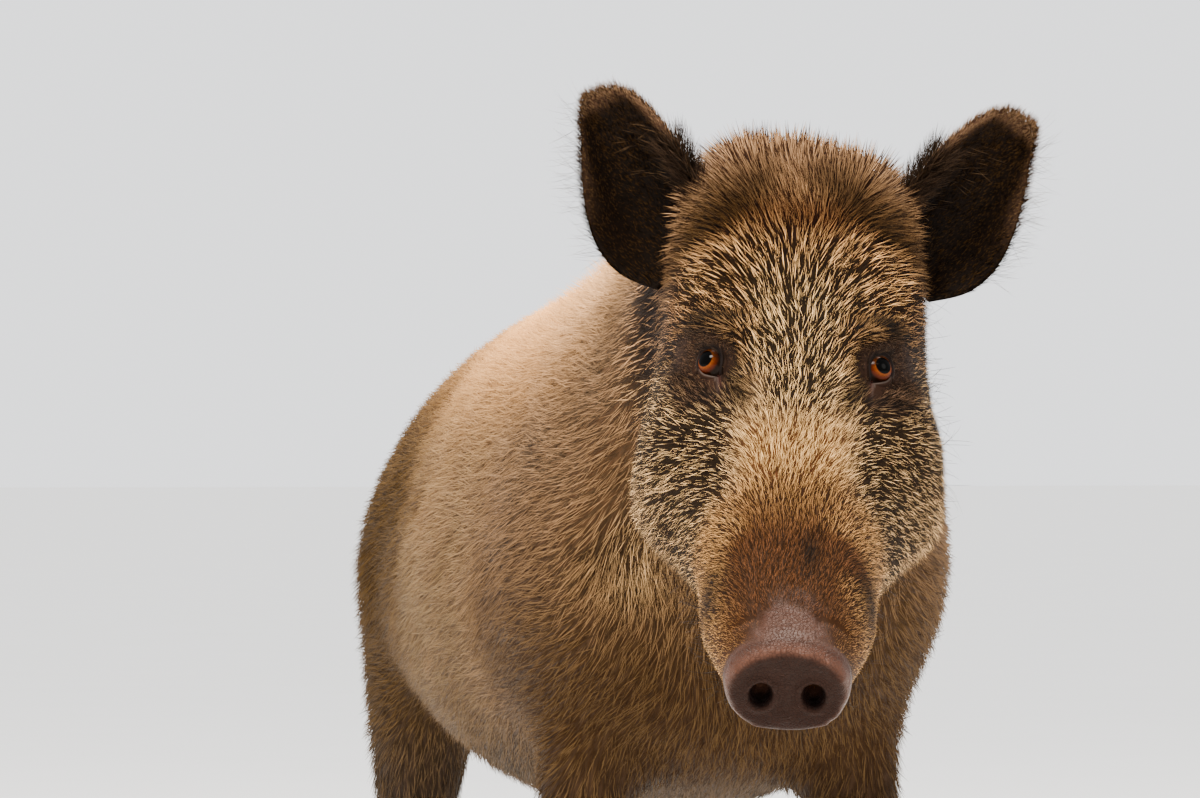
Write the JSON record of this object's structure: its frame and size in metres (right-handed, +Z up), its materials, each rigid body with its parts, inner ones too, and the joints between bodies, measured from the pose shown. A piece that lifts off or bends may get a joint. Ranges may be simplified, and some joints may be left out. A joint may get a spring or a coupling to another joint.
{
  "type": "wild boar",
  "caption": "Life-size standing wild boar sow in short summer coat, looking ahead with her ears pricked; a still display model.",
  "frame": {"origin": "on the ground, at the centre of the bounding box's underside, about under the middle of the trunk", "axes": "+Z is up. The boar faces -Y, so +X is her left side and +Y points to the tail. Her head is turned 11 degrees to her right, and rolled 2.3 degrees to her left."},
  "size_m": [0.3482, 1.3578, 0.8039],
  "materials": {
    "coat": "short stiff agouti bristles, dark at the root and cream at the tip, over dark skin",
    "nose": "bare moist pinkish-grey rhinarium with fine creases",
    "eye": "wet amber-brown eye with a dark pupil",
    "horn": "dark grey-brown horn with growth lines, scuffed at the edge"
  },
  "bodies": {
    "root": {"head": "coat", "snout": "coat", "lower_jaw": "coat", "neck": "coat", "chest": "coat", "barrel": "coat", "hindquarters": "coat", "tail": "coat", "ear_left": "coat", "eye_left": "eye", "leg_front_left": "coat", "foot_front_left": "coat", "hoof_front_left_outer": "horn", "dewclaw_front_left_outer": "horn", "hoof_front_left_inner": "horn", "dewclaw_front_left_inner": "horn", "leg_hind_left": "coat", "foot_hind_left": "coat", "hoof_hind_left_outer": "horn", "dewclaw_hind_left_outer": "horn", "hoof_hind_left_inner": "horn", "dewclaw_hind_left_inner": "horn", "ear_right": "coat", "eye_right": "eye", "leg_front_right": "coat", "foot_front_right": "coat", "hoof_front_right_outer": "horn", "dewclaw_front_right_outer": "horn", "hoof_front_right_inner": "horn", "dewclaw_front_right_inner": "horn", "leg_hind_right": "coat", "foot_hind_right": "coat", "hoof_hind_right_outer": "horn", "dewclaw_hind_right_outer": "horn", "hoof_hind_right_inner": "horn", "dewclaw_hind_right_inner": "horn", "nose_disc": "nose"}
  },
  "joints": []
}
